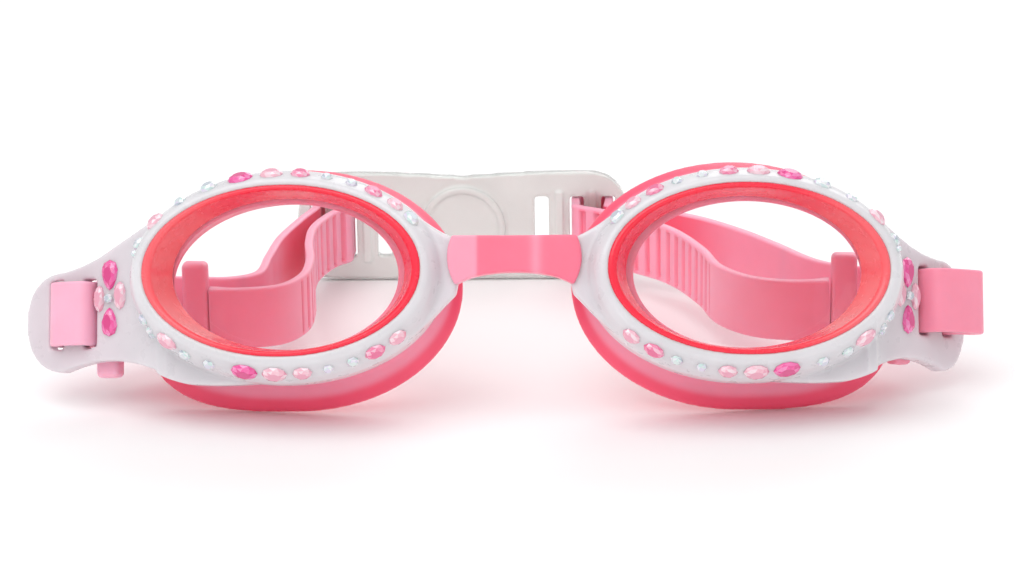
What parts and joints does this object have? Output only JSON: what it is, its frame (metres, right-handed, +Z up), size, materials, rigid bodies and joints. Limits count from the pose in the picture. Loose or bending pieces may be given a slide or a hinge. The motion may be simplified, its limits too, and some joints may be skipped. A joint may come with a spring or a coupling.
{
  "type": "swim goggles",
  "caption": "Child's swim goggles with winged eye frames, clear lenses, soft face seals, glued stones and a two-sided silicone strap joined by a clear ladder clip.",
  "frame": {"origin": "on the surface that the goggles stand on, under the middle of the whole object", "axes": "+X across the lenses to the right as seen from the front, +Y towards the back of the head, +Z up; the lenses face -Y and lean back"},
  "size_m": [0.1552, 0.088, 0.042],
  "materials": {
    "frame": "milky white, soft and slightly translucent, smooth satin gloss",
    "lens_ring": "coral red, glossy, slightly see-through at thin edges",
    "lens": "clear and colourless, polished",
    "silicone": "bubble-gum pink silicone, satin, slightly translucent",
    "clip": "clear, slightly cloudy, polished",
    "stone_hot": "cut and polished, hot pink",
    "stone_pink": "cut and polished, mid pink",
    "stone_pale": "cut and polished, pale pink",
    "stone_clear": "cut and polished, clear with a faint rainbow"
  },
  "bodies": {
    "goggles": {"frame_left": "frame", "lens_ring_left": "lens_ring", "lens_left": "lens", "seal_left": "silicone", "frame_right": "frame", "lens_ring_right": "lens_ring", "lens_right": "lens", "seal_right": "silicone", "left_stone_1": "stone_clear", "left_stone_2": "stone_pale", "left_stone_3": "stone_pink", "left_stone_4": "stone_pink", "left_stone_5": "stone_pale", "left_stone_6": "stone_hot", "left_stone_7": "stone_clear", "left_stone_8": "stone_pale", "left_stone_9": "stone_pale", "left_stone_10": "stone_hot", "left_stone_11": "stone_pale", "left_stone_12": "stone_pale", "left_stone_13": "stone_pink", "left_stone_14": "stone_pale", "left_petal_1": "stone_pale", "left_petal_2": "stone_hot", "left_petal_3": "stone_pale", "left_petal_4": "stone_hot", "left_flower_centre": "stone_clear", "right_stone_1": "stone_clear", "right_stone_2": "stone_pale", "right_stone_3": "stone_pink", "right_stone_4": "stone_pink", "right_stone_5": "stone_pale", "right_stone_6": "stone_hot", "right_stone_7": "stone_clear", "right_stone_8": "stone_pale", "right_stone_9": "stone_pale", "right_stone_10": "stone_hot", "right_stone_11": "stone_pale", "right_stone_12": "stone_pale", "right_stone_13": "stone_pink", "right_stone_14": "stone_pale", "right_petal_1": "stone_pale", "right_petal_2": "stone_hot", "right_petal_3": "stone_pale", "right_petal_4": "stone_hot", "right_flower_centre": "stone_clear", "nose_bridge": "silicone", "strap_anchor_left": "silicone", "strap_anchor_right": "silicone"},
    "band": {"strap_run_left": "silicone", "strap_run_right": "silicone"},
    "clip": {"back_clip": "clip", "strap_loop_left": "silicone", "strap_loop_right": "silicone"},
    "left_end": {"strap_tail_left": "silicone", "tail_tab_left": "silicone"},
    "right_end": {"strap_tail_right": "silicone", "tail_tab_right": "silicone"}
  },
  "joints": [
    {"name": "strap_tilt", "type": "hinge", "parent": "goggles", "child": "band", "pos_m": [0, -0.017, 0.012], "axis": [1, 0, 0], "range_deg": [-20, 20], "deforming": ["strap_run_left", "strap_run_right"]},
    {"name": "strap_adjust", "type": "slide", "parent": "band", "child": "clip", "axis": [0, 1, 0], "range_m": [-0.001, 0.01], "deforming": ["strap_run_left", "strap_run_right", "strap_tail_left", "strap_tail_right"]},
    {"name": "left_end_slide", "type": "slide", "parent": "clip", "child": "left_end", "axis": [0.98, -0.199, 0], "range_m": [-0.001, 0.01], "deforming": ["strap_tail_left"]},
    {"name": "right_end_slide", "type": "slide", "parent": "clip", "child": "right_end", "axis": [-0.98, 0.199, 0], "range_m": [-0.001, 0.01], "deforming": ["strap_tail_right"]}
  ],
  "couplings": [
    {"joint": "left_end_slide", "follows": "strap_adjust", "ratio": 1},
    {"joint": "right_end_slide", "follows": "strap_adjust", "ratio": 1}
  ]
}
